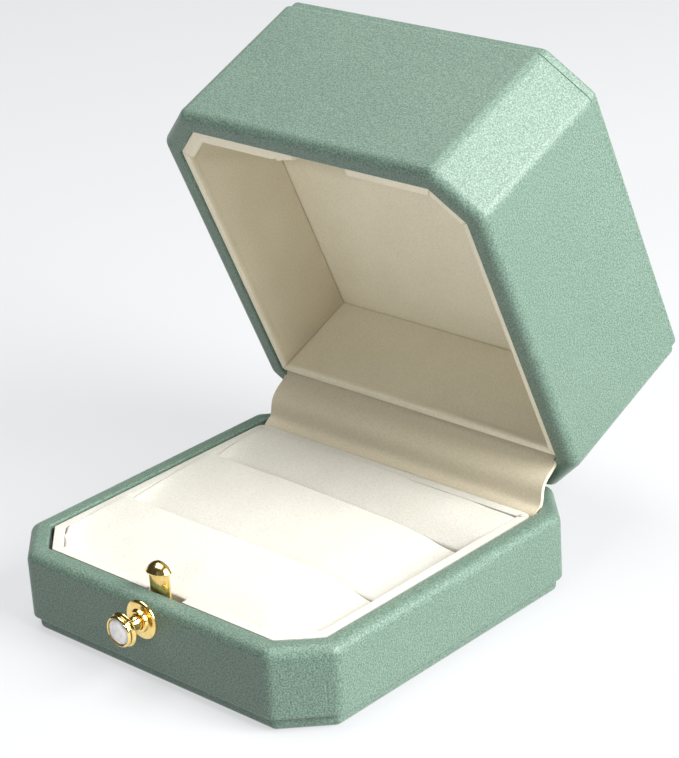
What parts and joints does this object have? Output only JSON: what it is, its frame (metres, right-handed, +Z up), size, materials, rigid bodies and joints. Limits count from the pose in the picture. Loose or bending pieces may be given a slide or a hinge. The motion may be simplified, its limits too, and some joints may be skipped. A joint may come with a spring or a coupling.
{
  "type": "ring box",
  "caption": "Octagonal padded jewellery box with a sprung lid, velvet pads with slots for rings, a satin covered hinge and a push button catch with a crystal.",
  "frame": {"origin": "centre of the box's underside", "axes": "+Z up, the front with its push button faces -Y, the hinge runs along X at the rear"},
  "size_m": [0.075, 0.1117, 0.0964],
  "materials": {
    "green_leatherette": "soft sage green leatherette with a pearl sheen and a fine pebble grain",
    "grey_board": "grey packing board, unseen",
    "shell_plastic": "moulded polystyrene, unseen but for its edges at the hinge",
    "ivory_velvet": "short ivory velvet nap",
    "hinge_satin": "smooth beige velvet ribbon",
    "hinge_steel": "plain zinc plated steel",
    "gold": "polished gold plate",
    "clear_crystal": "clear faceted crystal"
  },
  "bodies": {
    "base": {"base_cover": "green_leatherette", "base_plate_board": "grey_board", "base_plate_cover": "green_leatherette", "base_shell": "shell_plastic", "hinge_cover": "hinge_satin", "hinge_leaf_base": "hinge_steel", "hinge_pin": "hinge_steel", "hinge_rivets_base": "hinge_steel", "hinge_springs": "hinge_steel", "hook_pivot_pin": "hinge_steel", "hook_spring": "hinge_steel", "insert_board": "grey_board", "insert_lip": "ivory_velvet", "latch_bracket": "hinge_steel", "latch_bracket_rivets": "hinge_steel", "latch_escutcheon": "gold", "ring_pad_front": "ivory_velvet", "ring_pad_middle": "ivory_velvet", "ring_pad_rear": "ivory_velvet"},
    "lid": {"hinge_leaf_lid": "hinge_steel", "hinge_rivets_lid": "hinge_steel", "lid_cover": "green_leatherette", "lid_keeper": "hinge_steel", "lid_keeper_rivets": "hinge_steel", "lid_liner_ceiling": "ivory_velvet", "lid_liner_corner_left": "ivory_velvet", "lid_liner_corner_right": "ivory_velvet", "lid_liner_front": "ivory_velvet", "lid_liner_left": "ivory_velvet", "lid_liner_rear": "ivory_velvet", "lid_liner_right": "ivory_velvet", "lid_shell": "shell_plastic", "lid_top_board": "grey_board", "lid_top_cover": "green_leatherette"},
    "button": {"button_stem": "gold", "stem_clip": "hinge_steel", "button_bezel": "gold", "button_crystal": "clear_crystal"},
    "hook": {"latch_hook": "gold"}
  },
  "joints": [
    {"name": "lid_hinge", "type": "hinge", "parent": "base", "child": "lid", "pos_m": [0, 0.0363, 0.01575], "axis": [1, 0, 0], "range_deg": [0, 67], "stiffness_Nm_per_rad": 0.004, "springref_deg": -20.05, "deforming": ["hinge_cover", "hinge_springs"]},
    {"name": "button_slide", "type": "slide", "parent": "base", "child": "button", "axis": [0, 1, 0], "range_m": [0, 0.001], "stiffness_N_per_m": 400, "springref_m": -0.0006},
    {"name": "hook_pivot", "type": "hinge", "parent": "base", "child": "hook", "pos_m": [0, -0.0326, 0.0064], "axis": [-1, 0, 0], "range_deg": [0, 10.3], "deforming": ["hook_spring"]}
  ],
  "couplings": [
    {"joint": "hook_pivot", "follows": "button_slide", "rad_per_m": 178.57}
  ]
}
